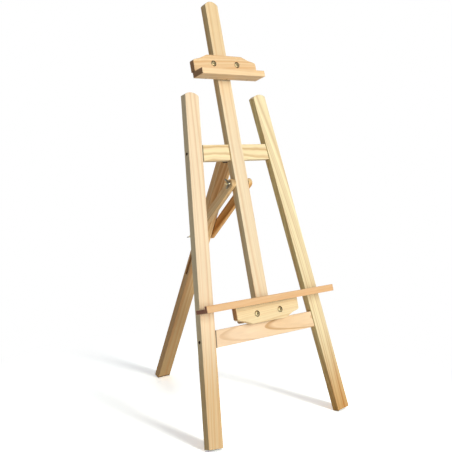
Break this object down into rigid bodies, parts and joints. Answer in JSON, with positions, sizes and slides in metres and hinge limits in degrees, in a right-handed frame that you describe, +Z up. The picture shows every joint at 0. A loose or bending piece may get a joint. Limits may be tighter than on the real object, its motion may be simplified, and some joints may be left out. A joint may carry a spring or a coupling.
{
  "type": "wooden artist easel",
  "caption": "Floor-standing pine A-frame easel with a folding slotted rear leg, sliding canvas holder and sliding canvas tray clamped by wing nuts.",
  "frame": {"origin": "on the floor, below the middle of the easel's plan as it stands open", "axes": "+Z up, +X to the right of someone facing the canvas, -Y out of the front towards that person"},
  "size_m": [0.6586, 0.7768, 1.5052],
  "materials": {
    "pine": "planed, unvarnished",
    "beech_dowel": "planed",
    "hinge_steel": "zinc plated, dull",
    "bolt_steel": "zinc plated",
    "wing_nut_steel": "zinc plated, cast",
    "screw_steel": "zinc plated"
  },
  "bodies": {
    "frame": {"leg_left": "pine", "leg_right": "pine", "upper_crossbar": "pine", "lower_crossbar": "pine", "mast": "pine", "frame_screws": "screw_steel", "mast_dowels": "beech_dowel", "hinge_leaf_mast": "hinge_steel", "hinge_pin": "hinge_steel", "hinge_screws_mast": "screw_steel", "pivot_bolt": "bolt_steel", "pivot_washer": "bolt_steel"},
    "rear_leg": {"rear_leg": "pine", "hinge_leaf_leg": "hinge_steel", "hinge_screws_leg": "screw_steel"},
    "struts": {"strut_left": "pine", "strut_right": "pine", "slide_bolt": "bolt_steel", "slide_washer": "bolt_steel"},
    "holder": {"holder_board": "pine", "holder_ledge": "pine", "holder_plate": "pine", "holder_bolts": "bolt_steel", "holder_washers": "bolt_steel", "holder_screws": "screw_steel"},
    "tray": {"tray_board": "pine", "tray_base": "pine", "tray_lip": "pine", "tray_plate": "pine", "tray_bolts": "bolt_steel", "tray_washers": "bolt_steel", "tray_screws": "screw_steel"},
    "pivot_wing_nut": {"pivot_wing_nut": "wing_nut_steel"},
    "slide_wing_nut": {"slide_wing_nut": "wing_nut_steel"},
    "holder_wing_nut_left": {"holder_wing_nut_left": "wing_nut_steel"},
    "holder_wing_nut_right": {"holder_wing_nut_right": "wing_nut_steel"},
    "tray_wing_nut_left": {"tray_wing_nut_left": "wing_nut_steel"},
    "tray_wing_nut_right": {"tray_wing_nut_right": "wing_nut_steel"}
  },
  "joints": [
    {"name": "rear_leg_fold", "type": "hinge", "parent": "frame", "child": "rear_leg", "pos_m": [0, -0.08734, 0.96592], "axis": [1, 0, 0], "range_deg": [-35, 0]},
    {"name": "strut_swing", "type": "hinge", "parent": "frame", "child": "struts", "pos_m": [0, -0.13955, 0.84816], "axis": [1, 0, 0], "range_deg": [-47.5, 0]},
    {"name": "holder_slide", "type": "slide", "parent": "frame", "child": "holder", "axis": [0, 0.2706, 0.9627], "range_m": [-0.22, 0.17]},
    {"name": "tray_slide", "type": "slide", "parent": "frame", "child": "tray", "axis": [0, 0.2706, 0.9627], "range_m": [-0.025, 0.11]},
    {"name": "pivot_wing_nut_turn", "type": "hinge", "parent": "frame", "child": "pivot_wing_nut", "pos_m": [-0.055, -0.13955, 0.84816], "axis": [1, 0, 0], "continuous": true},
    {"name": "slide_wing_nut_turn", "type": "hinge", "parent": "struts", "child": "slide_wing_nut", "pos_m": [-0.055, 0.08038, 0.6354], "axis": [1, 0, 0], "continuous": true},
    {"name": "holder_wing_nut_left_turn", "type": "hinge", "parent": "holder", "child": "holder_wing_nut_left", "pos_m": [-0.0535, 0.0184, 1.25302], "axis": [0, -0.9627, 0.2706], "continuous": true},
    {"name": "tray_wing_nut_left_turn", "type": "hinge", "parent": "tray", "child": "tray_wing_nut_left", "pos_m": [-0.0535, -0.22569, 0.38467], "axis": [0, -0.9627, 0.2706], "continuous": true},
    {"name": "holder_wing_nut_right_turn", "type": "hinge", "parent": "holder", "child": "holder_wing_nut_right", "pos_m": [0.0535, 0.0184, 1.25302], "axis": [0, -0.9627, 0.2706], "continuous": true},
    {"name": "tray_wing_nut_right_turn", "type": "hinge", "parent": "tray", "child": "tray_wing_nut_right", "pos_m": [0.0535, -0.22569, 0.38467], "axis": [0, -0.9627, 0.2706], "continuous": true}
  ],
  "couplings": [
    {"joint": "strut_swing", "follows": "rear_leg_fold", "ratio": 1.356}
  ]
}
